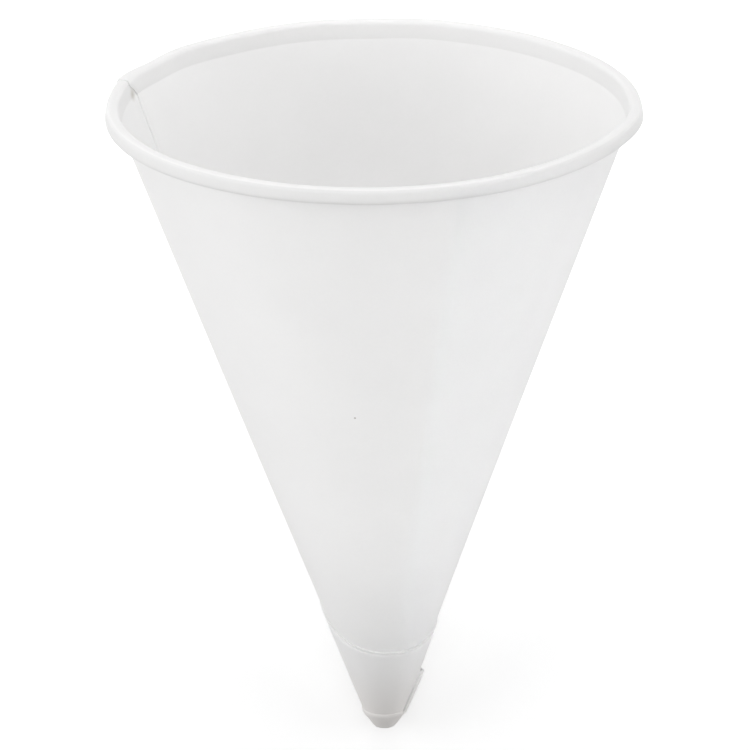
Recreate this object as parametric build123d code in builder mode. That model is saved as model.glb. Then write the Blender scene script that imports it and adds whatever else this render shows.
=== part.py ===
from build123d import *
import os
from math import acos, asin, atan2, cos, degrees, hypot, radians, sin, tan

os.makedirs("parts", exist_ok=True)

# A paper cone cup with a rolled rim, wound from one sheet with a cut lap along its side.
# It is drawn upright, with its axis on Z and the sharp point of its cone at the origin,
# and laid on its side at the end. Azimuth 0 is +X, and 90 is the side that it lies on.

# Driving sizes, in mm and degrees
rim_diameter = 73.0  # over the rolled rim
roll_diameter = 2.15
roll_height = 96.84  # from the cone's sharp point to the middle of the roll
paper = 0.22
bond = 0.02  # between one turn of the sheet and the next
seam_azimuth = 160.0  # where the sheet starts, on the inside
lap_angle = 2.3  # how far the outer cut edge lies past the inner one at the rim
climb_angle = 10.0  # over which the sheet climbs onto its own start
heel_slant = 27.6  # from the sharp point to the corner where the long cut edge ends
third_slant = 16.0  # and to the top of its third turn, where that starts at the back
third_angle = 141.0  # how far the third turn runs
flap_azimuth = -13.0  # where it ends in a loose corner
toe_slant = 14.2  # from the sharp point to the loose corner
flap_lift = 0.45  # how far the loose corner stands off
tip_height = 4.2  # the blunt tip above the sharp point
tip_radius = 1.95

# The rim's distance from a true circle, in mm, at every 10 degrees from azimuth 0
rim_wave = (
    -0.15, -0.35, -0.55, -0.65, -0.70, -0.48, -0.20, 0.10, 0.48, 0.16, 0.52, 0.46,
    0.22, 0.18, 0.36, -0.04, 0.40, 0.20, 0.06, 0.05, 0.00, 0.00, -0.03, -0.05,
    -0.02, 0.05, 0.06, 0.12, 0.06, 0.00, -0.15, -0.35, -0.40, -0.33, -0.18, 0.12,
)

# Sizes that follow
wave_step = 360 / len(rim_wave)
roll_radius = roll_diameter / 2
rim_radius = rim_diameter / 2
roll_path_radius = rim_radius - roll_radius
crease_inset = 0.97 * roll_radius  # from the middle of the roll in to the crease at its foot
crease_drop = 1.4 * roll_radius  # and down to it
crease_height = roll_height - crease_drop
lean = atan2(roll_path_radius - crease_inset, crease_height)  # the cone's half angle
crease_slant = crease_height / cos(lean)
outer_edge_azimuth = seam_azimuth - lap_angle
shoulder_height = tip_height + 2.7  # where the blunt tip begins
tip_ring_height = shoulder_height + 0.4
tip_ring_radius = shoulder_height * tan(lean) + 3 * paper / cos(lean) + 0.1
wall_foot = (shoulder_height - 0.3) / cos(lean)
sunk = 0.75 * paper  # how deep a turn's underside lies in the turn below, as one solid with it


def wave_at(azimuth):
    """The rim's distance from a true circle at an azimuth, as a share of its radius."""
    place = (azimuth % 360) / wave_step
    before = int(place)
    first = rim_wave[before % len(rim_wave)]
    second = rim_wave[(before + 1) % len(rim_wave)]
    return 1 + (first + (second - first) * (place - before)) / rim_radius


def stations_between(start, end):
    """Azimuths from start down to end, with the wave's own azimuths in between."""
    ring = [wave_step * k for k in range(-60, 60)]
    inner = [azimuth for azimuth in ring if end + 1 < azimuth < start - 1]
    return [start, *sorted(inner, reverse=True), end]


def radial_plane(azimuth):
    """The plane through the axis at an azimuth: local x runs outwards and local y up."""
    out = (cos(radians(azimuth)), sin(radians(azimuth)), 0)
    return Plane(origin=(0, 0, 0), x_dir=out, z_dir=(out[1], -out[0], 0))


def on_wall(azimuth, slant, lift):
    """Radius and height of a point at a slant distance, lifted off the cone's outer face."""
    radius = slant * sin(lean) + lift * cos(lean)
    return radius * wave_at(azimuth), slant * cos(lean) - lift * sin(lean)


# The rolled rim's own frame has its middle at (0, 0), and the crease lies below it
bend_radius = roll_radius - paper / 2
crease = Vector(-crease_inset - paper / 2 / cos(lean), -crease_drop)
bend_start = degrees(atan2(crease.Y, crease.X) - acos(bend_radius / crease.length)) + 360
bend_end = -60.0
tuck_radius = 0.61 * roll_radius
tuck_turn = 200.0
tuck_centre = Vector(bend_radius - tuck_radius, 0).rotate(Axis.Z, bend_end)
crease_turn = (bend_start - 180 - degrees(lean)) / 2  # square to the crease, halfway round it


def curl_section(azimuth):
    """The sheet's section at an azimuth: the wall, the crease, the roll and its tucked edge."""
    middle = Vector(roll_path_radius * wave_at(azimuth), roll_height)
    mitre = Vector(paper / 2, 0).rotate(Axis.Z, crease_turn)
    with BuildSketch(radial_plane(azimuth)) as section:
        with BuildLine():
            outer = CenterArc(middle, roll_radius, bend_start, bend_end - bend_start)
            inner = CenterArc(middle, roll_radius - paper, bend_start, bend_end - bend_start)
            wide = tuck_radius + paper / 2
            outer_tuck = CenterArc(middle + tuck_centre, wide, bend_end, -tuck_turn)
            inner_tuck = CenterArc(middle + tuck_centre, wide - paper, bend_end, -tuck_turn)
            Line(outer_tuck @ 1, inner_tuck @ 1)
            Polyline(
                outer @ 0, middle + crease - mitre, on_wall(azimuth, wall_foot, -paper),
                on_wall(azimuth, wall_foot, 0), middle + crease + mitre, inner @ 0,
            )
        make_face()
    return section.sketch


def start_section(azimuth, ply):
    """The sheet's first edge at an azimuth, standing in from the wall and over the roll."""
    middle = Vector(roll_path_radius * wave_at(azimuth), roll_height)
    skin = Vector(paper / 2 + ply, 0).rotate(Axis.Z, crease_turn)
    with BuildSketch(radial_plane(azimuth)) as section:
        with BuildLine():
            outer = CenterArc(middle, roll_radius + ply, bend_start, bend_end - bend_start)
            inner = CenterArc(middle, bend_radius, bend_start, bend_end - bend_start)
            Line(outer @ 1, inner @ 1)
            Polyline(
                outer @ 0, middle + crease - skin, on_wall(azimuth, wall_foot + 1, -paper - ply),
                on_wall(azimuth, wall_foot + 1, -paper / 2), middle + crease, inner @ 0,
            )
        make_face()
    return section.sketch


def cut_edge(azimuth, start, end):
    """The slant at an azimuth of a straight cut of the flat sheet between two of its corners."""
    turned = radians((start[0] - azimuth) * sin(lean))
    whole = radians((start[0] - end[0]) * sin(lean))
    return sin(whole) / (sin(whole - turned) / start[1] + sin(turned) / end[1])


def layer_section(azimuth, reach, under, over, proud=0.0):
    """A layer of paper on the wall at an azimuth, from the tip to its cut edge."""
    foot = wall_foot + 0.3
    groove = over - 0.4 * paper
    corners = (
        (foot, under), (reach, under), (reach, over + proud),
        (reach - 0.30, over + proud), (reach - 0.55, groove + proud * 0.96),
        (reach - 0.90, over + proud * 0.92), (foot, over),
    )
    with BuildSketch(radial_plane(azimuth)) as section:
        with BuildLine():
            Polyline(*[on_wall(azimuth, slant, lift) for slant, lift in corners], close=True)
        make_face()
    return section.sketch


# The sheet's full turn, in two halves that meet at the seam
far_side = seam_azimuth - 180
with BuildPart() as sheet:
    loft([curl_section(azimuth) for azimuth in stations_between(seam_azimuth, far_side)], ruled=True)
    loft([curl_section(azimuth) for azimuth in stations_between(far_side, seam_azimuth - 360)], ruled=True)

# The sheet's first edge, which shows inside as one ply and runs out behind it
with BuildPart() as first_edge:
    loft([
        start_section(seam_azimuth, paper + bond), start_section(seam_azimuth - climb_angle, bond),
    ], ruled=True)

# The second turn, cut along one straight line from the rim round to its heel
rim_corner = (outer_edge_azimuth, crease_slant)
heel_corner = (outer_edge_azimuth - 360, heel_slant)
with BuildPart() as second_turn:
    sections = [
        layer_section(seam_azimuth + climb_angle, crease_slant, -sunk, bond),
        layer_section(seam_azimuth, crease_slant, -sunk, paper + bond),
        layer_section(outer_edge_azimuth, crease_slant, -sunk, paper + bond),
    ]
    first_cuts = [outer_edge_azimuth - 2.5, outer_edge_azimuth - 5.2]
    later_cuts = stations_between(outer_edge_azimuth - 7, outer_edge_azimuth - 344)
    for azimuth in [*first_cuts, *later_cuts]:
        edge = cut_edge(azimuth, rim_corner, heel_corner)
        sections.append(layer_section(azimuth, edge, -sunk, paper + bond))
    loft(sections, ruled=True)

# The third turn, a short one behind the tip that ends in a loose corner
third_start = (flap_azimuth + third_angle, third_slant)
toe_corner = (flap_azimuth, toe_slant)
with BuildPart() as third_turn:
    sections = []
    for step in range(9):
        share = step / 8
        azimuth = third_start[0] - third_angle * share
        edge = cut_edge(azimuth, third_start, toe_corner)
        over = paper + 3 * bond + paper * min(1.0, 4 * share)
        loose = max(0.0, 4 * share - 3)
        sections.append(layer_section(azimuth, edge, -paper / 2, over, flap_lift * loose))
    loft(sections, ruled=True)

# The blunt tip, where the turns are pressed together
with BuildPart() as tip:
    with BuildSketch(Plane.XZ):
        with BuildLine():
            Polyline(
                (0, tip_height), (tip_radius * 0.55, tip_height),
                (tip_radius, tip_height + 0.8), (tip_ring_radius - 0.1, shoulder_height),
                (tip_ring_radius, tip_ring_height),
                ((tip_ring_height + 0.5) * tan(lean) - paper / 2, tip_ring_height + 0.5),
                (0, tip_ring_height + 0.1), close=True,
            )
        make_face()
    revolve(axis=Axis.Z)

with BuildPart() as upright:
    add(sheet)
    add(first_edge)
    add(second_turn)
    add(third_turn)
    add(tip)

# The cup lies on the flat run of its rim at azimuth 90 and on the ring above its tip
rest_radius = roll_path_radius * wave_at(90) - tip_ring_radius
rest_height = roll_height - tip_ring_height
rest_angle = atan2(rest_radius, rest_height) + asin(roll_radius / hypot(rest_radius, rest_height))
laid = upright.part.rotate(Axis.X, degrees(rest_angle) - 90)
laid_box = laid.bounding_box()
with BuildPart() as cone_cup:
    with Locations((-laid_box.center().X, -laid_box.center().Y, -laid_box.min.Z)):
        add(laid)

cone_cup.part.label = "cone_cup"
export_step(cone_cup.part, "parts/cone_cup.step")
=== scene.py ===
"""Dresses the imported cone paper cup: its wound sheet, cut edges, rolled rim and white paper."""

import logging
import math
from dataclasses import dataclass, field
from enum import Enum

import bpy
import numpy as np
from mathutils import Matrix, Vector


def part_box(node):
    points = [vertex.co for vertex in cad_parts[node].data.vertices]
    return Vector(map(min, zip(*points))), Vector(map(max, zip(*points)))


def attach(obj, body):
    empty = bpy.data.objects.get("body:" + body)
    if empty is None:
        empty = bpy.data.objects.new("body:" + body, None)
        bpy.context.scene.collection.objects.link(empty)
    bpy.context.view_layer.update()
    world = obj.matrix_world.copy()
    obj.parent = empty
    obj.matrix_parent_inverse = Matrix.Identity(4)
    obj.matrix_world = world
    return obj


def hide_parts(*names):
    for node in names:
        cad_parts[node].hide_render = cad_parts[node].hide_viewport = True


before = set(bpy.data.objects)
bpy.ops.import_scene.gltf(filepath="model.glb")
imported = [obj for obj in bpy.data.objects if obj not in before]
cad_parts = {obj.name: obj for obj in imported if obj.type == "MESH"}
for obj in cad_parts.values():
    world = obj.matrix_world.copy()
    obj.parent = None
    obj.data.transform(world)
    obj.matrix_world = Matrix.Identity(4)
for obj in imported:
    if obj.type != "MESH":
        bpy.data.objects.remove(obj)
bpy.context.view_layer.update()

LOG = logging.getLogger("cone_cup")
NODE = "cone_cup"
BODY = "root"
# The point attribute of the paper's tone, which carries painted shade and painted highlight.
TONE_WITH_PAINTED_LIGHT = "paper_tone_with_painted_light"
MM = 0.001
SHARP_EDGE = 32.0


def ease(share: np.ndarray) -> np.ndarray:
    """A smooth step from 0 to 1 as share goes from 0 to 1."""
    share = np.clip(share, 0.0, 1.0)
    return share * share * (3 - 2 * share)


def bell(distance: np.ndarray, width: float) -> np.ndarray:
    """A smooth bump of height 1 at distance 0, about width wide on each side."""
    return np.exp(-((distance / width) ** 2))


class Face(Enum):
    """Which finish a face of the paper takes, by its place in the mesh's material list."""

    SHEET = 0
    CUT_EDGE = 1


@dataclass(frozen=True)
class RimWave:
    """The rolled rim's distance from a true circle, at every 10 degrees from azimuth 0.

    Azimuth 0 is the right as the camera sees the cup, and 90 the far side that it lies on.
    """

    offsets_mm: tuple[float, ...] = (
        -0.15, -0.35, -0.55, -0.65, -0.70, -0.48, -0.20, 0.10, 0.48, 0.16, 0.52, 0.46,
        0.22, 0.18, 0.36, -0.04, 0.40, 0.20, 0.06, 0.05, 0.00, 0.00, -0.03, -0.05,
        -0.02, 0.05, 0.06, 0.12, 0.06, 0.00, -0.15, -0.35, -0.40, -0.33, -0.18, 0.12,
    )

    def share(self, azimuth: np.ndarray, rim_radius: float) -> np.ndarray:
        """The rim's distance from a circle as a share of its radius.

        Args:
            azimuth: Azimuths in degrees.
            rim_radius: The rim's radius in metres.

        Returns:
            One share for each azimuth, on a smooth closed line through the offsets.
        """
        offsets = np.array(self.offsets_mm) * MM / rim_radius
        count = len(offsets)
        blur = (4 + 2 * np.cos(2 * np.pi * np.arange(count) / count)) / 6
        knots = np.fft.ifft(np.fft.fft(offsets) / blur).real
        place = np.mod(azimuth, 360.0) / 360.0 * count
        before = np.floor(place).astype(int)
        along = place - before
        weights = (
            (1 - along) ** 3, 3 * along**3 - 6 * along**2 + 4,
            -3 * along**3 + 3 * along**2 + 3 * along + 1, along**3,
        )
        return sum(
            weight * knots[(before + step) % count] for step, weight in zip((-1, 0, 1, 2), weights)
        ) / 6


@dataclass(frozen=True)
class ConeSizes:
    """The cup's sizes in metres and degrees, upright, from the sharp point of its cone."""

    rim_diameter: float = 0.0730
    roll_diameter: float = 0.00215
    roll_height: float = 0.09684
    paper: float = 0.00022
    bond: float = 0.00002
    seam_azimuth: float = 160.0
    lap_angle: float = 2.3
    climb_angle: float = 10.0
    heel_slant: float = 0.0276
    last_turned: float = 706.3
    third_start: float = 128.0
    third_slant: float = 0.0160
    flap_azimuth: float = -13.0
    toe_slant: float = 0.0142
    tip_height: float = 0.0042
    crease_in: float = 0.97
    crease_down: float = 1.4
    shoulder_rise: float = 0.0027
    ring_rise: float = 0.0004
    ring_room: float = 0.0001
    foot_sunk: float = 0.0003
    tip_sway: float = 0.00040
    sway_curve: float = 1.5
    sway_height: float = 0.055
    tip_oval: float = 0.12
    oval_height: float = 0.027
    wave: RimWave = field(default_factory=RimWave)

    @property
    def roll_radius(self) -> float:
        """The rolled rim's outer radius, seen along it."""
        return self.roll_diameter / 2

    @property
    def path_radius(self) -> float:
        """The radius of the circle that the roll's middle runs on."""
        return self.rim_diameter / 2 - self.roll_radius

    @property
    def crease(self) -> Vector:
        """The crease at the roll's foot, from the roll's middle: outwards and up."""
        inset = self.crease_in * self.roll_radius + self.paper / 2 / math.cos(self.lean)
        return Vector((-inset, -self.crease_down * self.roll_radius))

    @property
    def crease_height(self) -> float:
        """The crease's height over the sharp point."""
        return self.roll_height - self.crease_down * self.roll_radius

    @property
    def lean(self) -> float:
        """The cone's half angle in radians."""
        return math.atan2(self.path_radius - self.crease_in * self.roll_radius, self.crease_height)

    @property
    def crease_slant(self) -> float:
        """The crease's distance from the sharp point along the wall."""
        return self.crease_height / math.cos(self.lean)

    @property
    def turn_lift(self) -> float:
        """How far one turn of the sheet stands off the turn below it."""
        return self.paper + self.bond

    @property
    def shoulder_height(self) -> float:
        """Where the blunt tip begins."""
        return self.tip_height + self.shoulder_rise

    @property
    def tip_ring_height(self) -> float:
        """The height of the ring above the blunt tip."""
        return self.shoulder_height + self.ring_rise

    @property
    def tip_ring_radius(self) -> float:
        """The radius of that ring."""
        layers = 3 * self.paper / math.cos(self.lean)
        return self.shoulder_height * math.tan(self.lean) + layers + self.ring_room

    @property
    def wall_foot(self) -> float:
        """The slant at which the wall starts, inside the tip."""
        return (self.shoulder_height - self.foot_sunk) / math.cos(self.lean)

    def cut(self, turned: np.ndarray, whole: float, start: float, end: float) -> np.ndarray:
        """The slant of a straight cut of the flat sheet, as the sheet is wound.

        Args:
            turned: How far round the cone each point lies from the cut's start, in degrees.
            whole: How far round its end lies.
            start: The slant of its start.
            end: The slant of its end.

        Returns:
            One slant for each point.
        """
        flat = np.radians(turned) * math.sin(self.lean)
        flat_whole = math.radians(whole) * math.sin(self.lean)
        return math.sin(flat_whole) / (np.sin(flat_whole - flat) / start + np.sin(flat) / end)

    def place(self, azimuth: np.ndarray, radius: np.ndarray, height: np.ndarray) -> np.ndarray:
        """Points of the upright cup, with the rim's wave and the tip's sway carried in.

        Args:
            azimuth: Azimuths in degrees.
            radius: Radii of the true round cup.
            height: Heights over the sharp point.

        Returns:
            An array whose last axis is x, y and z.
        """
        carried = self.path_radius * np.clip(height / self.crease_height, 0.0, 1.0)
        reach = radius + carried * self.wave.share(azimuth, self.rim_diameter / 2)
        angle = np.radians(azimuth)
        widened = 1 + self.tip_oval * np.clip(1 - height / self.oval_height, 0.0, 1.0) ** 2
        swayed = self.tip_sway * np.clip(1 - height / self.sway_height, 0.0, 1.0) ** self.sway_curve
        across = reach * np.cos(angle) * widened + swayed
        return np.stack([across, reach * np.sin(angle), height + 0 * reach], -1)

    def lay_angle(self) -> float:
        """How far the upright cup is tipped over to lie on its rim and the ring above its tip.

        Returns:
            The turn about X in radians.
        """
        reach = self.path_radius * (1 + float(self.wave.share(np.array(90.0), self.rim_diameter / 2)))
        across = reach - self.tip_ring_radius
        along = self.roll_height - self.tip_ring_height
        lying = math.atan2(across, along) + math.asin(self.roll_radius / math.hypot(across, along))
        return lying - math.pi / 2


class PaperMesh:
    """Collects the points and faces of the paper, grid by grid."""

    def __init__(self) -> None:
        """Starts with no points."""
        self.points: list[np.ndarray] = []
        self.tones: list[np.ndarray] = []
        self.faces: list[np.ndarray] = []
        self.finishes: list[np.ndarray] = []
        self.count = 0

    def add_points(self, points: np.ndarray, tones: np.ndarray | float = 1.0) -> np.ndarray:
        """Adds points.

        Args:
            points: An array whose last axis is x, y and z.
            tones: The paper's tone at each point, with painted shade and painted highlight in it,
                where 1 is plain white.

        Returns:
            The points' numbers, in the same layout.
        """
        numbers = np.arange(points[..., 0].size).reshape(points.shape[:-1]) + self.count
        self.points.append(points.reshape(-1, 3))
        self.tones.append(np.broadcast_to(tones, points.shape[:-1]).ravel())
        self.count += numbers.size
        return numbers

    def add_grid(self, numbers: np.ndarray, face: Face, flip: bool = False) -> None:
        """Adds the quads of a grid of points.

        Args:
            numbers: The points' numbers in rows and columns.
            face: The finish that the quads take.
            flip: Turns the quads to face the other way.
        """
        quads = np.stack(
            [numbers[:-1, :-1], numbers[1:, :-1], numbers[1:, 1:], numbers[:-1, 1:]], -1
        ).reshape(-1, 4)
        if flip:
            quads = quads[:, ::-1]
        self.faces.append(quads)
        self.finishes.append(np.full(len(quads), face.value))

    def add_cap(self, numbers: np.ndarray, middle: np.ndarray, face: Face, flip: bool = False) -> None:
        """Closes a ring of points with triangles round a middle point.

        Args:
            numbers: The ring's point numbers, in order.
            middle: The middle point.
            face: The finish that the triangles take.
            flip: Turns the triangles to face the other way.
        """
        centre = self.add_points(middle.reshape(1, 3))[0]
        following = np.roll(numbers, -1)
        triangles = np.stack([numbers, following, np.full(len(numbers), centre)], -1)
        if flip:
            triangles = triangles[:, ::-1]
        self.faces.append(triangles)
        self.finishes.append(np.full(len(triangles), face.value))

    def build(self, name: str, turn: Matrix) -> bpy.types.Object:
        """Makes the object.

        Args:
            name: The object's name.
            turn: The matrix that its points are turned by.

        Returns:
            The new object, linked to the scene.
        """
        points = np.concatenate(self.points) @ np.array(turn.to_3x3()).T
        faces = [quad.tolist() for block in self.faces for quad in block]
        mesh = bpy.data.meshes.new(name)
        mesh.from_pydata(points.tolist(), [], faces)
        mesh.polygons.foreach_set("material_index", np.concatenate(self.finishes).astype(np.int32))
        tone = mesh.attributes.new(TONE_WITH_PAINTED_LIGHT, "FLOAT", "POINT")
        tone.data.foreach_set("value", np.concatenate(self.tones).astype(np.float32))
        mesh.shade_smooth()
        mesh.set_sharp_from_angle(angle=math.radians(SHARP_EDGE))
        mesh.update()
        made = bpy.data.objects.new(name, mesh)
        bpy.context.scene.collection.objects.link(made)
        return made


@dataclass(frozen=True)
class WoundSheet:
    """The sheet's first turn with the rolled rim, and its second turn with the long cut edge."""

    sizes: ConeSizes
    wall_rows: int = 34
    roll_steps: int = 30
    tuck_steps: int = 14
    bend_end: float = -60.0
    tuck_turn: float = 200.0
    tuck_share: float = 0.61
    crease_round: float = 0.00012
    flatness: float = 4.4
    roll_taper: float = 0.17
    roll_half_width: float = 0.00096
    roll_half_height: float = 0.00105
    # roll_tone darkens the whole roll; the two values after it are painted shade on the roll's front
    # face and on its crest.
    roll_tone: float = 0.965
    painted_face_shade: float = 0.15
    painted_crest_shade: float = 0.05
    face_start: float = 0.35
    crest_start: float = 0.3
    shade_run: float = 0.5
    front_curve: float = 0.6
    groove_depth: float = 0.00012
    groove_inset: float = 0.00048
    groove_width: float = 0.00016
    lip: float = 0.00003
    lip_width: float = 0.00022
    # Painted highlight beside the long cut edge, and painted shadow in its groove.
    painted_edge_highlight: float = 0.025
    painted_groove_shadow: float = 0.04
    mark_start: float = 372.0
    mark_run: float = 20.0
    edge_insets_mm: tuple[float, ...] = (
        2.4, 1.6, 1.2, 0.95, 0.8, 0.68, 0.58, 0.5, 0.42, 0.34, 0.26, 0.16, 0.06, 0.0,
    )
    edge_press: float = 0.00010
    edge_run: float = 1.2
    edge_skew: tuple[float, float] = (0.9, 4.3)

    def insets(self) -> np.ndarray:
        """Distances of the closest rows from the cut edge, farthest first."""
        return np.array(self.edge_insets_mm) * MM

    def rows(self, reach: np.ndarray) -> np.ndarray:
        """Slants of the wall's rows, from its foot to its edge.

        Args:
            reach: The wall's reach at each station.

        Returns:
            A row of slants for every station.
        """
        foot, close = self.sizes.wall_foot, self.insets()
        shares = np.linspace(0, 1, self.wall_rows, endpoint=False)
        lower = foot + (reach[:, None] - close[0] - foot) * shares[None, :]
        return np.concatenate([lower, reach[:, None] - close[None, :]], 1)

    def roll_line(self) -> tuple[np.ndarray, np.ndarray]:
        """The roll's middle line from just past the crease to its tucked edge.

        Returns:
            Its points from the roll's middle and the directions across the paper, both as
            outwards and up.
        """
        sizes = self.sizes
        bend_radius = sizes.roll_radius - sizes.paper / 2
        crease = sizes.crease
        start = math.atan2(crease.y, crease.x) - math.acos(bend_radius / crease.length) + 2 * math.pi
        end = math.radians(self.bend_end)
        bend = np.linspace(start, end, self.roll_steps)
        tuck_radius = self.tuck_share * sizes.roll_radius
        tuck = np.linspace(end, end - math.radians(self.tuck_turn), self.tuck_steps + 1)[1:]
        on_bend, facing = self.flattened(bend)
        middle = on_bend[-1] - tuck_radius * np.array([math.cos(end), math.sin(end)])
        on_tuck = middle + tuck_radius * np.stack([np.cos(tuck), np.sin(tuck)], -1)
        corner = np.array(crease)
        first = on_bend[0] - corner
        near = corner + first * (self.crease_round / np.linalg.norm(first))
        halfway = corner + first * 0.5
        points = np.concatenate([[near], [halfway], on_bend, on_tuck])
        turned_in = np.stack([np.cos(tuck), np.sin(tuck)], -1)
        return points, -np.concatenate([facing[:1], facing[:1], facing, turned_in])

    def flattened(self, bend: np.ndarray) -> tuple[np.ndarray, np.ndarray]:
        """The roll's middle line, pressed flat on its four sides and narrower at its top.

        Args:
            bend: Angles round the roll in radians.

        Returns:
            Its points from the roll's middle and the directions square to it.
        """
        across, up = np.cos(bend), np.sin(bend)
        reach = (np.abs(across) ** self.flatness + np.abs(up) ** self.flatness) ** (-1 / self.flatness)
        across, up = across * reach, up * reach
        outwards = np.sign(across) * np.abs(across) ** (self.flatness - 1)
        upwards = np.sign(up) * np.abs(up) ** (self.flatness - 1)
        narrowed = 1 - self.roll_taper * up
        facing = np.stack([outwards, self.roll_taper * across * outwards + narrowed * upwards], -1)
        facing /= np.linalg.norm(facing, axis=1)[:, None]
        half_paper = self.sizes.paper / 2
        wide, tall = self.roll_half_width - half_paper, self.roll_half_height - half_paper
        return np.stack([wide * across * narrowed, tall * up], -1), facing

    def turn_skins(self, turned: np.ndarray, reach: np.ndarray, with_roll: bool) -> list[np.ndarray]:
        """The outer and inner skins of the sheet.

        Args:
            turned: How far the sheet has been wound at each station, in degrees.
            reach: The wall's reach at each station.
            with_roll: Whether the roll follows on the wall.

        Returns:
            Two arrays of points, each with a row for every station.
        """
        sizes = self.sizes
        azimuth = sizes.seam_azimuth - turned[:, None]
        climb = sizes.climb_angle
        lift = sizes.turn_lift * (ease(turned / climb) - 1 + ease((turned - 360) / climb))[:, None]
        lift = lift + (self.edge_press * (1 - ease(turned / self.edge_run)))[:, None]
        slant = self.rows(reach)
        pressed = bell(reach[:, None] - slant - self.groove_inset, self.groove_width)
        raised = bell(reach[:, None] - slant, self.lip_width)
        marked = self.marked(turned)
        sine, cosine = math.sin(sizes.lean), math.cos(sizes.lean)
        skins = []
        for side in (0.5, -0.5):
            off = lift + (side - 0.5) * sizes.paper
            if side > 0:
                off = off + marked * (self.lip * raised - self.groove_depth * pressed)
            radius = slant * sine + off * cosine
            height = slant * cosine - off * sine
            if with_roll:
                points, across = self.roll_line()
                skin = lift + side * sizes.paper
                radius = np.concatenate(
                    [radius, sizes.path_radius + points[:, 0] + across[:, 0] * skin], 1
                )
                height = np.concatenate(
                    [height, sizes.roll_height + points[:, 1] + across[:, 1] * skin], 1
                )
            skins.append(sizes.place(azimuth + self.skew(turned, height), radius, height))
        return skins

    def roll_tones(self, turned: np.ndarray) -> np.ndarray:
        """The tone of the first turn: the roll a little darker all round, with painted shade on its
        front face toward the camera and on its crest everywhere but behind.

        Args:
            turned: How far the sheet has been wound at each station, in degrees.

        Returns:
            A row of tones for every station.
        """
        outwards, upwards = -self.roll_line()[1].T
        on_face = ease((outwards - self.face_start) / self.shade_run)
        on_crest = ease((upwards - self.crest_start) / self.shade_run)
        toward_front = np.cos(np.radians(self.sizes.seam_azimuth - turned + 90))
        in_front = np.clip(toward_front, 0, 1) ** self.front_curve
        not_behind = np.clip(1 + toward_front, 0, 1)
        wall = np.ones((len(turned), self.wall_rows + len(self.insets())))
        # Painted shade: the roll's front face is darkened toward the front, and its crest everywhere
        # but behind.
        roll = self.roll_tone - self.painted_face_shade * in_front[:, None] * on_face[None, :]
        roll = roll - self.painted_crest_shade * not_behind[:, None] * on_crest[None, :]
        return np.concatenate([wall, roll], 1)

    def edge_tones(self, turned: np.ndarray, reach: np.ndarray) -> np.ndarray:
        """The tone along the long cut edge: a painted highlight on both sides of a painted shadow line
        in the groove.

        Args:
            turned: How far the sheet has been wound at each station, in degrees.
            reach: The wall's reach at each station.

        Returns:
            A row of tones for every station.
        """
        inset = reach[:, None] - self.rows(reach)
        # Painted highlight where the edges catch light, and painted shadow along the groove.
        white = bell(inset - 0.10 * MM, 0.26 * MM) + 0.9 * bell(inset - 0.82 * MM, 0.22 * MM)
        grey = bell(inset - self.groove_inset, 0.10 * MM)
        return 1 + self.marked(turned) * (self.painted_edge_highlight * white - self.painted_groove_shadow * grey)

    def skew(self, turned: np.ndarray, height: np.ndarray) -> np.ndarray:
        """How far the sheet's first edge runs past the seam, on the wall and over the roll.

        Args:
            turned: How far the sheet has been wound at each station, in degrees.
            height: The height of each point over the sharp point.

        Returns:
            One turn in degrees for each point.
        """
        over_roll = ease((height - self.sizes.crease_height) / self.sizes.roll_diameter)
        at_edge = self.edge_skew[0] + (self.edge_skew[1] - self.edge_skew[0]) * over_roll
        return at_edge * (1 - ease(turned[:, None] / self.sizes.climb_angle))

    def marked(self, turned: np.ndarray) -> np.ndarray:
        """How far the pressed line has set in along the long cut edge, from 0 to 1."""
        return ease((turned - self.mark_start) / self.mark_run)[:, None]

    def first_stations(self) -> np.ndarray:
        """How far the first turn is wound at its stations, which are closest at its ends."""
        return np.concatenate([
            np.linspace(0, 2, 9), np.linspace(2.5, 12, 16), np.linspace(14, 348, 168),
            np.linspace(350, 360 + self.sizes.lap_angle, 16),
        ])

    def later_stations(self) -> np.ndarray:
        """How far past its corner the second turn is wound at its stations."""
        closest = [0.3, 0.6, 1.0, 1.4, 1.8, 2.3, 2.8, 3.4, 4.0, 4.7, 5.5, 6.4, 7.4, 8.5, 9.7, 11.0]
        whole = self.sizes.last_turned - 360 - self.sizes.lap_angle
        return np.concatenate([closest, np.arange(12.5, whole, 2.0), [whole]])

    def add_to(self, mesh: PaperMesh) -> None:
        """Adds both turns to the mesh."""
        outer, inner = self.add_first_turn(mesh)
        self.add_second_turn(mesh, outer, inner)

    def add_first_turn(self, mesh: PaperMesh) -> tuple[np.ndarray, np.ndarray]:
        """Adds the first turn with the roll.

        Args:
            mesh: The mesh that takes it.

        Returns:
            The point numbers of the turn's outer and inner skins.
        """
        turned = self.first_stations()
        full = np.full(len(turned), self.sizes.crease_slant)
        tones = self.roll_tones(turned)
        outer, inner = (mesh.add_points(skin, tones) for skin in self.turn_skins(turned, full, True))
        mesh.add_grid(outer, Face.SHEET)
        mesh.add_grid(inner, Face.SHEET, flip=True)
        mesh.add_grid(np.stack([outer[:, -1], inner[:, -1]], 1), Face.CUT_EDGE)
        mesh.add_grid(np.stack([inner[:, 0], outer[:, 0]], 1), Face.SHEET)
        mesh.add_grid(np.stack([outer[0], inner[0]], 0), Face.SHEET, flip=True)
        LOG.info("first turn: %d stations", len(turned))
        return outer, inner

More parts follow.
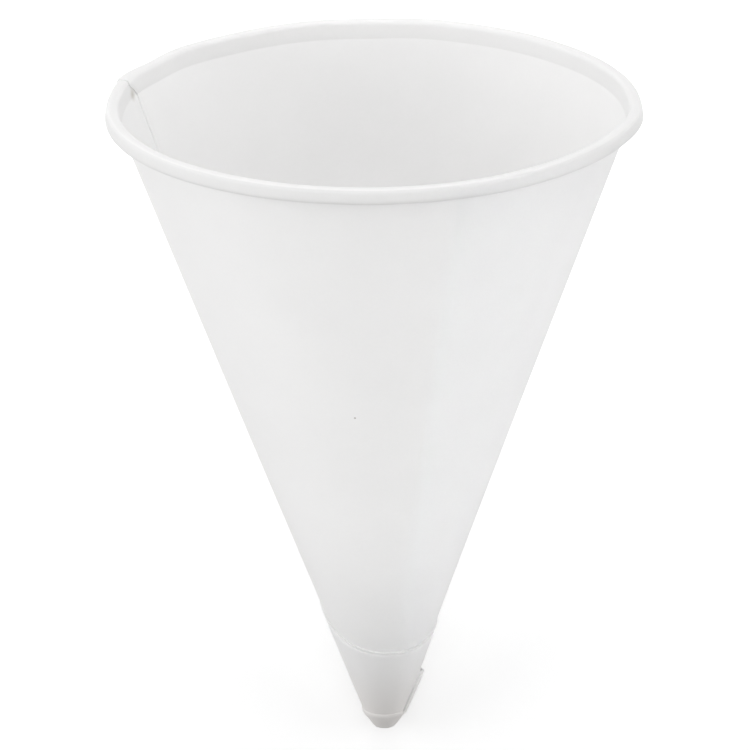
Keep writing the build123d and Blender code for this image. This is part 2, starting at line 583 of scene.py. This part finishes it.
    def add_second_turn(self, mesh: PaperMesh, outer: np.ndarray, inner: np.ndarray) -> None:
        """Adds the second turn, which goes on from the wall of the first.

        Args:
            mesh: The mesh that takes it.
            outer: The point numbers of the first turn's outer skin.
            inner: The point numbers of its inner skin.
        """
        sizes = self.sizes
        edge_row = self.wall_rows + len(self.insets()) - 1
        roll_end = np.stack([inner[-1, edge_row:], outer[-1, edge_row:]], 0)
        mesh.add_grid(roll_end, Face.CUT_EDGE, flip=True)
        past_corner = self.later_stations()
        turned = 360 + sizes.lap_angle + past_corner
        reach = sizes.cut(past_corner, 360, sizes.crease_slant, sizes.heel_slant)
        tones = self.edge_tones(turned, reach)
        skins = [mesh.add_points(skin, tones) for skin in self.turn_skins(turned, reach, False)]
        outer = np.concatenate([outer[-1:, : edge_row + 1], skins[0]])
        inner = np.concatenate([inner[-1:, : edge_row + 1], skins[1]])
        mesh.add_grid(outer, Face.SHEET)
        mesh.add_grid(inner, Face.SHEET, flip=True)
        mesh.add_grid(np.stack([outer[:, -1], inner[:, -1]], 1), Face.CUT_EDGE)
        mesh.add_grid(np.stack([inner[:, 0], outer[:, 0]], 1), Face.SHEET)
        mesh.add_grid(np.stack([inner[-1], outer[-1]], 0), Face.CUT_EDGE, flip=True)
        LOG.info("second turn: %d stations", len(turned))


@dataclass(frozen=True)
class ThirdTurn:
    """The short third turn, which starts from nothing and ends in a loose corner by the tip."""

    sizes: ConeSizes
    rows: int = 22
    stations: int = 72
    lift_off: float = 0.00045
    foot_azimuth: float = -34.0
    foot_room: float = 0.0003
    row_curve: float = 1.4
    drawn_curve: float = 0.85
    climb_share: float = 0.25
    corner_share: float = 0.90
    corner_height: float = 0.86
    corner_cut: float = 0.00055
    tucked_in: float = 1.7
    loose_share: float = 0.88
    loose_width: float = 0.09

    def add_to(self, mesh: PaperMesh) -> None:
        """Adds the turn to the mesh."""
        sizes = self.sizes
        share = np.linspace(0, 1, self.stations)[:, None]
        angle = sizes.third_start - sizes.flap_azimuth
        reach = sizes.cut(angle * share[:, 0], angle, sizes.third_slant, sizes.toe_slant)[:, None]
        foot = sizes.wall_foot + self.foot_room
        up = np.linspace(0, 1, self.rows)[None, :]
        slant = foot + (reach - foot) * (1 - (1 - up) ** self.row_curve)
        height_share = (slant - foot) / (reach - foot)
        drawn = (sizes.flap_azimuth - self.foot_azimuth) * (1 - height_share) ** self.drawn_curve
        azimuth = sizes.third_start - (angle + drawn) * share
        near_end = ease((share - self.corner_share) / (1 - self.corner_share))
        near_top = ease((height_share - self.corner_height) / (1 - self.corner_height))
        slant = slant - self.corner_cut * near_end * near_top * height_share
        under = sizes.turn_lift + sizes.bond
        over = under + sizes.paper * ease(share / self.climb_share)
        loose = self.lift_off * bell(share - self.loose_share, self.loose_width) * height_share
        sine, cosine = math.sin(sizes.lean), math.cos(sizes.lean)
        skins = []
        tucked = 1 - self.tucked_in * ease((share - self.loose_share) / (1 - self.loose_share))
        for lift in (over + loose, under + loose * tucked):
            radius = slant * sine + lift * cosine
            height = slant * cosine - lift * sine
            skins.append(mesh.add_points(sizes.place(azimuth, radius, height)))
        outer, inner = skins
        mesh.add_grid(outer, Face.SHEET)
        mesh.add_grid(inner, Face.SHEET, flip=True)
        mesh.add_grid(np.stack([outer[:, -1], inner[:, -1]], 1), Face.CUT_EDGE)
        mesh.add_grid(np.stack([inner[:, 0], outer[:, 0]], 1), Face.SHEET)
        mesh.add_grid(np.stack([inner[-1], outer[-1]], 0), Face.CUT_EDGE, flip=True)
        LOG.info("third turn: %d stations", self.stations)


@dataclass(frozen=True)
class BluntTip:
    """The tip, where the turns of the sheet are pressed together."""

    sizes: ConeSizes
    around: int = 72
    folds: float = 0.035
    fold_height: float = 0.0028
    foot_wave: float = 0.00003
    front_radius: float = 0.00302

    def outline(self) -> tuple[np.ndarray, np.ndarray]:
        """The tip's outline in front, from its lowest point up to the ring and in over it.

        Returns:
            Its corners as radius and height, and how much each swells out to the ring toward
            the floor.
        """
        sizes, front = self.sizes, self.front_radius
        foot, shoulder, ring = sizes.tip_height, sizes.shoulder_height, sizes.tip_ring_height
        inside = (ring + 0.50 * MM) * math.tan(sizes.lean) - sizes.paper / 2
        corners = (
            (0.50 * MM, foot, 0.0),
            (0.95 * MM, foot + 0.10 * MM, 0.0),
            (1.32 * MM, foot + 0.32 * MM, 0.0),
            (1.63 * MM, foot + 0.70 * MM, 0.0),
            (1.98 * MM, foot + 1.25 * MM, 0.1),
            (2.40 * MM, foot + 1.90 * MM, 0.3),
            (front - 0.20 * MM, shoulder - 0.30 * MM, 0.8),
            (front - 0.06 * MM, shoulder, 1.0),
            (front, ring - 0.10 * MM, 1.0),
            (front - 0.05 * MM, ring + 0.05 * MM, 1.0),
            (inside, ring + 0.50 * MM, 0.0),
            (0.5 * inside, ring + 0.20 * MM, 0.0),
        )
        table = np.array(corners)
        return table[:, :2], table[:, 2]

    def add_to(self, mesh: PaperMesh) -> None:
        """Adds the tip to the mesh, with its pressed folds and its lowest and highest points."""
        sizes = self.sizes
        corners, swell = self.outline()
        azimuth = np.linspace(0, 360, self.around, endpoint=False)[:, None]
        angle = np.radians(azimuth)
        creased = np.sin(2 * angle + 0.6) + 0.5 * np.sin(5 * angle + 1.1) + 0.4 * np.sin(9 * angle)
        low = 1 - np.clip((corners[:, 1] - sizes.tip_height) / self.fold_height, 0, 1)[None, :]
        toward_floor = np.clip(np.sin(angle), 0, 1) ** 2
        radius = corners[None, :, 0] * (1 + self.folds * creased * low)
        swollen = sizes.tip_ring_radius - self.front_radius
        radius = radius + swollen * toward_floor * swell[None, :]
        height = corners[None, :, 1] + self.foot_wave * low * (1 + np.sin(3 * angle + 0.4))
        rings = mesh.add_points(sizes.place(azimuth, radius, height))
        closed = np.concatenate([rings, rings[:1]])
        mesh.add_grid(closed, Face.SHEET)
        low_middle = np.array([0.0, 0.0, sizes.tip_height])
        high_middle = np.array([0.0, 0.0, sizes.tip_ring_height + sizes.ring_room])
        mesh.add_cap(rings[:, 0], low_middle, Face.SHEET, flip=True)
        mesh.add_cap(rings[:, -1], high_middle, Face.SHEET)
        LOG.info("blunt tip: %d sides", self.around)


def arithmetic(
    tree: bpy.types.ShaderNodeTree, operation: str, first: bpy.types.NodeSocket,
    second: bpy.types.NodeSocket | float,
) -> bpy.types.NodeSocket:
    """Adds a Math node.

    Args:
        tree: The node tree.
        operation: The Math node's operation.
        first: The first value's socket.
        second: The second value's socket, or a plain number.

    Returns:
        The node's output socket.
    """
    node = tree.nodes.new("ShaderNodeMath")
    node.operation = operation
    tree.links.new(first, node.inputs[0])
    if isinstance(second, float):
        node.inputs[1].default_value = second
    else:
        tree.links.new(second, node.inputs[1])
    return node.outputs[0]


@dataclass(frozen=True)
class PaperGrain:
    """The fibre grain and cloudy tone of uncoated paper, as one node group."""

    name: str = "paper_grain"

    def group(self) -> bpy.types.ShaderNodeTree:
        """Builds the group, or gives it back if it is there.

        Returns:
            A group that puts out a tone round 1, and a height for a Bump node.
        """
        if self.name in bpy.data.node_groups:
            return bpy.data.node_groups[self.name]
        tree = bpy.data.node_groups.new(self.name, "ShaderNodeTree")
        for label, default in (("Grain Scale", 2600.0), ("Cloud Scale", 140.0), ("Tone Range", 0.02)):
            socket = tree.interface.new_socket(label, in_out="INPUT", socket_type="NodeSocketFloat")
            socket.default_value = default
        for label in ("Tone", "Height"):
            tree.interface.new_socket(label, in_out="OUTPUT", socket_type="NodeSocketFloat")
        into = tree.nodes.new("NodeGroupInput")
        out = tree.nodes.new("NodeGroupOutput")
        place = tree.nodes.new("ShaderNodeTexCoord")
        fibres = tree.nodes.new("ShaderNodeTexNoise")
        fibres.inputs["Detail"].default_value = 4.0
        fibres.inputs["Roughness"].default_value = 0.62
        fibres.inputs["Distortion"].default_value = 0.6
        clouds = tree.nodes.new("ShaderNodeTexNoise")
        clouds.inputs["Detail"].default_value = 3.0
        clouds.inputs["Roughness"].default_value = 0.5
        links = tree.links
        for noise, label in ((fibres, "Grain Scale"), (clouds, "Cloud Scale")):
            links.new(place.outputs["Object"], noise.inputs["Vector"])
            links.new(into.outputs[label], noise.inputs["Scale"])
        both = arithmetic(tree, "ADD", fibres.outputs["Fac"], clouds.outputs["Fac"])
        centred = arithmetic(tree, "SUBTRACT", both, 1.0)
        scaled = arithmetic(tree, "MULTIPLY", centred, into.outputs["Tone Range"])
        tone = arithmetic(tree, "ADD", scaled, 1.0)
        links.new(tone, out.inputs["Tone"])
        links.new(fibres.outputs["Fac"], out.inputs["Height"])
        return tree


@dataclass(frozen=True)
class SpotMark:
    """A small soft mark on the paper, as a mask round a point."""

    name: str = "paper_spot"

    def group(self) -> bpy.types.ShaderNodeTree:
        """Builds the group, or gives it back if it is there.

        Returns:
            A group that puts out a mask from 1 at its centre to 0 at its radius.
        """
        if self.name in bpy.data.node_groups:
            return bpy.data.node_groups[self.name]
        tree = bpy.data.node_groups.new(self.name, "ShaderNodeTree")
        face = tree.interface
        face.new_socket("Centre", in_out="INPUT", socket_type="NodeSocketVector")
        face.new_socket("Radius", in_out="INPUT", socket_type="NodeSocketFloat")
        face.new_socket("Mask", in_out="OUTPUT", socket_type="NodeSocketFloat")
        into = tree.nodes.new("NodeGroupInput")
        out = tree.nodes.new("NodeGroupOutput")
        place = tree.nodes.new("ShaderNodeTexCoord")
        away = tree.nodes.new("ShaderNodeVectorMath")
        away.operation = "DISTANCE"
        fade = tree.nodes.new("ShaderNodeMapRange")
        fade.interpolation_type = "SMOOTHSTEP"
        fade.inputs["To Min"].default_value = 1.0
        fade.inputs["To Max"].default_value = 0.0
        tree.links.new(place.outputs["Object"], away.inputs[0])
        tree.links.new(into.outputs["Centre"], away.inputs[1])
        tree.links.new(away.outputs["Value"], fade.inputs["Value"])
        tree.links.new(into.outputs["Radius"], fade.inputs["From Max"])
        tree.links.new(fade.outputs["Result"], out.inputs["Mask"])
        return tree


@dataclass(frozen=True)
class Spot:
    """One mark on the paper: where it is, how large, and its colour."""

    centre: Vector
    radius: float
    colour: tuple[float, float, float, float]


@dataclass(frozen=True)
class PaperFinish:
    """White uncoated paper."""

    name: str
    colour: tuple[float, float, float, float]
    roughness: float = 0.72
    specular: float = 0.30
    tone_range: float = 0.035
    bump: float = 0.10
    bump_distance: float = 0.00004
    spots: tuple[Spot, ...] = ()

    def material(self) -> bpy.types.Material:
        """Builds the material.

        Returns:
            A material with one Principled shader, the grain and the spots.
        """
        made = bpy.data.materials.new(self.name)
        made.use_nodes = True
        tree = made.node_tree
        shader = tree.nodes["Principled BSDF"]
        shader.inputs["Roughness"].default_value = self.roughness
        shader.inputs["Specular IOR Level"].default_value = self.specular
        grain = tree.nodes.new("ShaderNodeGroup")
        grain.node_tree = PaperGrain().group()
        grain.inputs["Tone Range"].default_value = self.tone_range
        tone = tree.nodes.new("ShaderNodeMix")
        tone.data_type = "RGBA"
        tone.blend_type = "MULTIPLY"
        tone.inputs["Factor"].default_value = 1.0
        tone.inputs["A"].default_value = self.colour
        # The tone attribute, with its painted shade and painted highlight, multiplies the colour.
        painted = tree.nodes.new("ShaderNodeAttribute")
        painted.attribute_name = TONE_WITH_PAINTED_LIGHT
        both = arithmetic(tree, "MULTIPLY", grain.outputs["Tone"], painted.outputs["Fac"])
        tree.links.new(both, tone.inputs["B"])
        colour = tone.outputs["Result"]
        for spot in self.spots:
            colour = self.with_spot(tree, colour, spot)
        tree.links.new(colour, shader.inputs["Base Color"])
        bump = tree.nodes.new("ShaderNodeBump")
        bump.inputs["Strength"].default_value = self.bump
        bump.inputs["Distance"].default_value = self.bump_distance
        tree.links.new(grain.outputs["Height"], bump.inputs["Height"])
        tree.links.new(bump.outputs["Normal"], shader.inputs["Normal"])
        return made

    @staticmethod
    def with_spot(
        tree: bpy.types.ShaderNodeTree, colour: bpy.types.NodeSocket, spot: Spot
    ) -> bpy.types.NodeSocket:
        """Lays a spot over a colour.

        Args:
            tree: The material's node tree.
            colour: The colour's socket.
            spot: The spot.

        Returns:
            The mixed colour's socket.
        """
        mark = tree.nodes.new("ShaderNodeGroup")
        mark.node_tree = SpotMark().group()
        mark.inputs["Centre"].default_value = spot.centre
        mark.inputs["Radius"].default_value = spot.radius
        mix = tree.nodes.new("ShaderNodeMix")
        mix.data_type = "RGBA"
        mix.inputs["B"].default_value = spot.colour
        tree.links.new(mark.outputs["Mask"], mix.inputs["Factor"])
        tree.links.new(colour, mix.inputs["A"])
        return mix.outputs["Result"]


@dataclass
class LaidCup:
    """The whole cup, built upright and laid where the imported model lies."""

    sizes: ConeSizes
    move: Vector = field(default_factory=Vector)

    def matrix(self) -> Matrix:
        """The turn and the move that take the upright cup to where it lies."""
        return Matrix.Translation(self.move) @ Matrix.Rotation(self.sizes.lay_angle(), 4, "X")

    def build(self) -> bpy.types.Object:
        """Builds and dresses the cup.

        Returns:
            The cup's object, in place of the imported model's node.
        """
        mesh = PaperMesh()
        WoundSheet(self.sizes).add_to(mesh)
        ThirdTurn(self.sizes).add_to(mesh)
        BluntTip(self.sizes).add_to(mesh)
        cup = mesh.build("paper_cup", Matrix.Rotation(self.sizes.lay_angle(), 4, "X"))
        self.move = self.seat(cup)
        cup.data.transform(Matrix.Translation(self.move))
        for finish in (
            PaperFinish("paper_sheet", (0.868, 0.865, 0.863, 1.0), spots=self.marks()),
            # The cut edges' finish is a little lighter than the sheet: a painted highlight where they
            # catch light.
            PaperFinish("paper_cut_edge", (0.88, 0.88, 0.875, 1.0), roughness=0.85),
        ):
            cup.data.materials.append(finish.material())
        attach(cup, BODY)
        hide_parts(NODE)
        LOG.info("paper cup: %d points, %d faces", len(cup.data.vertices), len(cup.data.polygons))
        return cup

    def marks(self) -> tuple[Spot, ...]:
        """The marks on the paper: painted shade on the front of the tip, a speck in front, and painted
        shadow in the gap at the seam.
        """
        return (
            # Painted shade: a warm darker patch over the front of the tip.
            Spot(self.on_outside(-90.0, 0.0045), 0.0150, (0.80, 0.775, 0.755, 1.0)),
            Spot(self.on_outside(-98.35, 0.06395), 0.00022, (0.30, 0.27, 0.24, 1.0)),
            # Painted shadow: a brown-grey spot where the seam leaves a small gap at the crease.
            Spot(self.on_inside(163.3, 0.1017), 0.00120, (0.64, 0.62, 0.58, 1.0)),
        )

    def seat(self, cup: bpy.types.Object) -> Vector:
        """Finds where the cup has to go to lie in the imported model's box.

        Args:
            cup: The cup's object, turned as it lies.

        Returns:
            The move that brings it there.
        """
        low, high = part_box(NODE)
        points = np.array([vertex.co for vertex in cup.data.vertices])
        near, far = points.min(0), points.max(0)
        middle = (near + far) / 2
        return Vector((
            (low.x + high.x) / 2 - middle[0], (low.y + high.y) / 2 - middle[1], low.z - near[2],
        ))

    def on_outside(self, azimuth: float, slant: float) -> Vector:
        """A point on the wall's outside, where the cup lies.

        Args:
            azimuth: Its azimuth in degrees.
            slant: Its slant distance from the sharp point.

        Returns:
            The point in the scene.
        """
        lean = self.sizes.lean
        upright = self.sizes.place(
            np.array(azimuth), np.array(slant * math.sin(lean)), np.array(slant * math.cos(lean))
        )
        return self.matrix() @ Vector(upright)

    def on_inside(self, azimuth: float, slant: float) -> Vector:
        """A point on the wall's inside, where the cup lies.

        Args:
            azimuth: Its azimuth in degrees.
            slant: Its slant distance from the sharp point.

        Returns:
            The point in the scene.
        """
        lean, depth = self.sizes.lean, 2 * self.sizes.paper
        radius = slant * math.sin(lean) - depth * math.cos(lean)
        height = slant * math.cos(lean) + depth * math.sin(lean)
        upright = self.sizes.place(np.array(azimuth), np.array(radius), np.array(height))
        return self.matrix() @ Vector(upright)


@dataclass(frozen=True)
class SoftLamp:
    """One large soft lamp, placed in the upright cup's directions."""

    name: str
    toward: tuple[float, float, float]
    distance: float
    size: float
    power: float
    spread: float = 180.0

    def add(self, lying: Matrix, target: Vector) -> None:
        """Adds the lamp, turned to its target.

        Args:
            lying: The matrix that takes the upright cup to where it lies.
            target: The point that the lamp looks at.
        """
        direction = (lying.to_3x3() @ Vector(self.toward)).normalized()
        data = bpy.data.lights.new(self.name, "AREA")
        data.shape = "DISK"
        data.size = self.size
        data.energy = self.power
        data.spread = math.radians(self.spread)
        lamp = bpy.data.objects.new(self.name, data)
        lamp.location = target + direction * self.distance
        lamp.rotation_mode = "QUATERNION"
        lamp.rotation_quaternion = direction.to_track_quat("Z", "Y")
        bpy.context.scene.collection.objects.link(lamp)


@dataclass(frozen=True)
class Studio:
    """The pale floor, the soft lamps, the white surroundings and the camera."""

    floor_side: float = 4.0
    floor_colour: tuple[float, float, float, float] = (0.85, 0.85, 0.85, 1.0)
    floor_share: float = 0.38
    fade_start: float = 0.16
    fade_end: float = 0.36
    ambient: float = 0.37
    camera_place: tuple[float, float, float] = (0.0, -0.700, 0.335384)
    camera_pitch: float = -21.629
    camera_yaw: float = -0.0325
    camera_roll: float = -0.784
    focal_pixels: float = 5448.67
    picture_pixels: float = 750.0
    sensor: float = 36.0
    near_clip: float = 0.01
    far_clip: float = 20.0
    lit_height: float = 0.070

    def add_floor(self) -> None:
        """Adds the floor, which shows white to the camera and keeps the cup's shadow."""
        bpy.ops.mesh.primitive_plane_add(size=self.floor_side)
        floor = bpy.context.object
        floor.name = "studio_floor"
        made = bpy.data.materials.new("floor_white")
        made.use_nodes = True
        tree = made.node_tree
        shader = tree.nodes["Principled BSDF"]
        shader.inputs["Base Color"].default_value = self.floor_colour
        shader.inputs["Roughness"].default_value = 1.0
        shader.inputs["Specular IOR Level"].default_value = 0.0
        glow = tree.nodes.new("ShaderNodeEmission")
        glow.inputs["Strength"].default_value = self.floor_share
        plain = tree.nodes.new("ShaderNodeAddShader")
        choose = tree.nodes.new("ShaderNodeMixShader")
        tree.links.new(shader.outputs[0], plain.inputs[0])
        tree.links.new(glow.outputs[0], plain.inputs[1])
        backdrop = tree.nodes.new("ShaderNodeEmission")
        fade = tree.nodes.new("ShaderNodeMixShader")
        tree.links.new(self.far_off(tree), fade.inputs[0])
        tree.links.new(plain.outputs[0], fade.inputs[1])
        tree.links.new(backdrop.outputs[0], fade.inputs[2])
        tree.links.new(self.seen_directly(tree), choose.inputs[0])
        tree.links.new(shader.outputs[0], choose.inputs[1])
        tree.links.new(fade.outputs[0], choose.inputs[2])
        tree.links.new(choose.outputs[0], tree.nodes["Material Output"].inputs["Surface"])
        floor.data.materials.append(made)

    def far_off(self, tree: bpy.types.ShaderNodeTree) -> bpy.types.NodeSocket:
        """A mask that goes from 0 near the cup to 1 on the floor far from it."""
        place = tree.nodes.new("ShaderNodeTexCoord")
        away = tree.nodes.new("ShaderNodeVectorMath")
        away.operation = "LENGTH"
        fade = tree.nodes.new("ShaderNodeMapRange")
        fade.interpolation_type = "SMOOTHSTEP"
        fade.inputs["From Min"].default_value = self.fade_start
        fade.inputs["From Max"].default_value = self.fade_end
        tree.links.new(place.outputs["Object"], away.inputs[0])
        tree.links.new(away.outputs["Value"], fade.inputs["Value"])
        return fade.outputs["Result"]

    @staticmethod
    def seen_directly(tree: bpy.types.ShaderNodeTree) -> bpy.types.NodeSocket:
        """A mask of 1 where a ray comes from the camera, a mirror or glass."""
        path = tree.nodes.new("ShaderNodeLightPath")
        total = path.outputs["Is Camera Ray"]
        for label in ("Is Glossy Ray", "Is Transmission Ray"):
            total = arithmetic(tree, "MAXIMUM", total, path.outputs[label])
        return total

    def add_world(self) -> None:
        """Lights the scene softly from all sides, and shows white behind it."""
        world = bpy.data.worlds.new("soft_white")
        bpy.context.scene.world = world
        world.use_nodes = True
        tree = world.node_tree
        light = tree.nodes["Background"]
        light.inputs["Color"].default_value = (1.0, 1.0, 1.0, 1.0)
        light.inputs["Strength"].default_value = self.ambient
        backdrop = tree.nodes.new("ShaderNodeBackground")
        backdrop.inputs["Color"].default_value = (1.0, 1.0, 1.0, 1.0)
        backdrop.inputs["Strength"].default_value = 1.0
        choose = tree.nodes.new("ShaderNodeMixShader")
        tree.links.new(self.seen_directly(tree), choose.inputs[0])
        tree.links.new(light.outputs[0], choose.inputs[1])
        tree.links.new(backdrop.outputs[0], choose.inputs[2])
        tree.links.new(choose.outputs[0], tree.nodes["World Output"].inputs["Surface"])

    def add_lamps(self, lying: Matrix) -> None:
        """Adds the lamps round the cup."""
        target = lying @ Vector((0.0, 0.0, self.lit_height))
        lamps = (
            SoftLamp("left_lamp", (-1.0, -0.3, 0.2), 0.60, 0.40, 1.36),
            SoftLamp("right_lamp", (1.0, -0.3, 0.2), 0.60, 0.40, 0.96),
            SoftLamp("top_lamp", (0.0, -0.15, 1.0), 0.60, 0.40, 1.44),
            SoftLamp("high_lamp", (0.0, -0.8, 0.7), 0.60, 0.40, 0.53),
            SoftLamp("low_lamp", (-0.9, -0.4, -0.5), 0.60, 0.40, 0.08),
            SoftLamp("front_spot", (0.0, -1.0, -0.02), 0.30, 0.10, 0.0066, spread=10),
            SoftLamp("side_spot", (0.6, -0.6, -0.5), 0.30, 0.10, 0.0031, spread=12),
        )
        for lamp in lamps:
            lamp.add(lying, target)

    def add_camera(self, lying: Matrix) -> None:
        """Puts the camera at its viewing angle on the cup as it lies.

        Args:
            lying: The matrix that takes the upright cup to where it lies.
        """
        pitch, yaw, roll = (
            math.radians(angle) for angle in (self.camera_pitch, self.camera_yaw, self.camera_roll)
        )
        level_reach = math.cos(pitch)
        ahead = Vector((math.sin(yaw) * level_reach, math.cos(yaw) * level_reach, math.sin(pitch)))
        level = Vector((math.cos(yaw), -math.sin(yaw), 0.0))
        above = level.cross(ahead)
        right = level * math.cos(roll) + above * math.sin(roll)
        up = above * math.cos(roll) - level * math.sin(roll)
        turn = Matrix((right, up, -ahead)).transposed().to_4x4()
        data = bpy.data.cameras.new("photo_camera")
        data.sensor_fit = "HORIZONTAL"
        data.sensor_width = self.sensor
        data.lens = self.focal_pixels / self.picture_pixels * self.sensor
        data.clip_start, data.clip_end = self.near_clip, self.far_clip
        camera = bpy.data.objects.new("photo_camera", data)
        bpy.context.scene.collection.objects.link(camera)
        camera.matrix_world = lying @ Matrix.Translation(Vector(self.camera_place)) @ turn
        bpy.context.scene.camera = camera
        bpy.context.scene.view_settings.view_transform = "Standard"


def main() -> None:
    """Builds the cup and the studio."""
    logging.basicConfig(level=logging.INFO)
    cup = LaidCup(ConeSizes())
    cup.build()
    studio = Studio()
    studio.add_floor()
    studio.add_world()
    studio.add_lamps(cup.matrix())
    studio.add_camera(cup.matrix())


if __name__ == "__main__":
    main()
